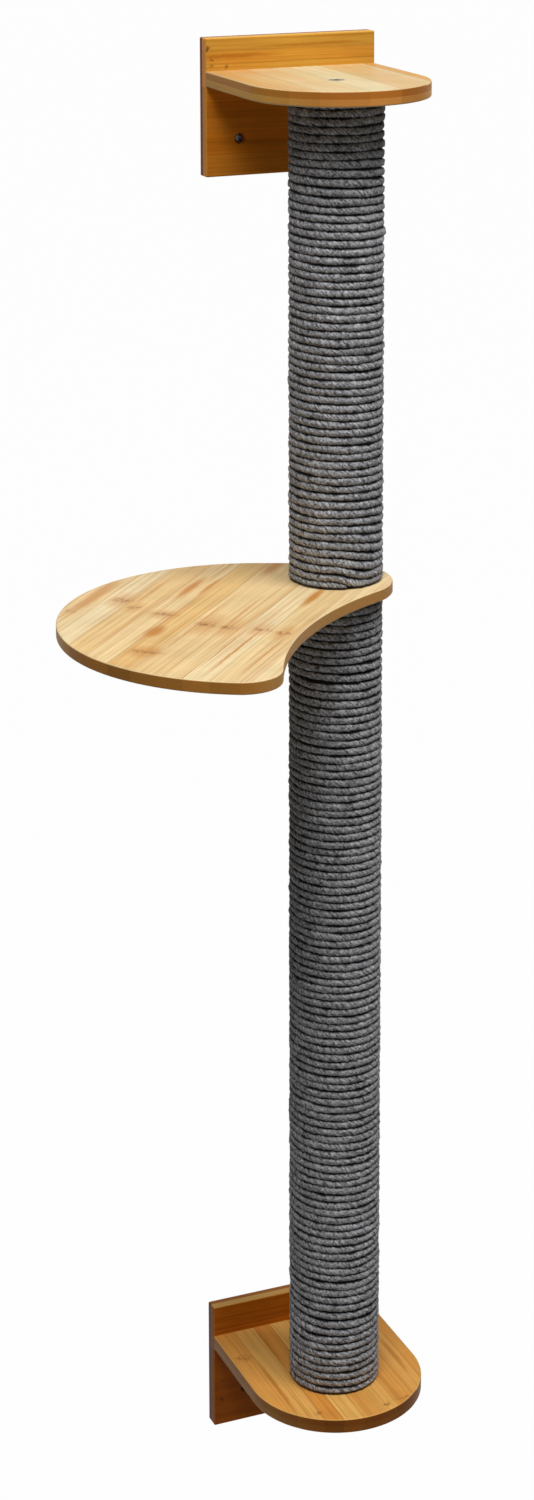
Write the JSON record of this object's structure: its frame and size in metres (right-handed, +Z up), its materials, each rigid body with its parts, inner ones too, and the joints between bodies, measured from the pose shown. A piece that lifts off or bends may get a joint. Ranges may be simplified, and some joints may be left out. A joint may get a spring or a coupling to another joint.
{
  "type": "wall mounted cat tree",
  "caption": "Roped scratching post in sections between bamboo wall brackets, with a leaf-shaped bamboo platform clamped part way up.",
  "frame": {"origin": "centre of the lower wall plate's back face", "axes": "+Z up along the post, +Y into the wall, +X to the right as one faces the wall"},
  "size_m": [0.4, 0.4407, 1.478],
  "materials": {
    "bamboo_board": "laminated bamboo, satin clear lacquer",
    "grey_rope": "soft twisted grey rope",
    "paper_tube": "spiral wound paper tube with a dark outer ply",
    "cap_plastic": "moulded black plastic",
    "insert_brass": "turned brass",
    "zinc_steel": "bright zinc plated steel",
    "dowel_beech": "plain beech"
  },
  "bodies": {
    "wall_frame": {"upper_wall_plate": "bamboo_board", "upper_shelf": "bamboo_board", "lower_wall_plate": "bamboo_board", "lower_shelf": "bamboo_board", "upper_rope": "grey_rope", "lower_rope": "grey_rope", "upper_post_tube": "paper_tube", "lower_post_tube": "paper_tube", "upper_tube_bottom_cap": "cap_plastic", "upper_tube_top_cap": "cap_plastic", "lower_tube_bottom_cap": "cap_plastic", "lower_tube_top_cap": "cap_plastic", "upper_post_inserts": "insert_brass", "lower_post_inserts": "insert_brass", "upper_wall_screws": "zinc_steel", "lower_wall_screws": "zinc_steel", "upper_shelf_screws": "zinc_steel", "lower_shelf_screws": "zinc_steel", "top_bolt": "zinc_steel", "bottom_bolt": "zinc_steel", "platform_stud": "zinc_steel", "upper_shelf_dowels": "dowel_beech", "lower_shelf_dowels": "dowel_beech"},
    "platform": {"platform": "bamboo_board"}
  },
  "joints": [
    {"name": "platform_swivel", "type": "hinge", "parent": "wall_frame", "child": "platform", "pos_m": [0, -0.125, 0.883], "axis": [0, 0, 1], "range_deg": [-12, 145]}
  ]
}
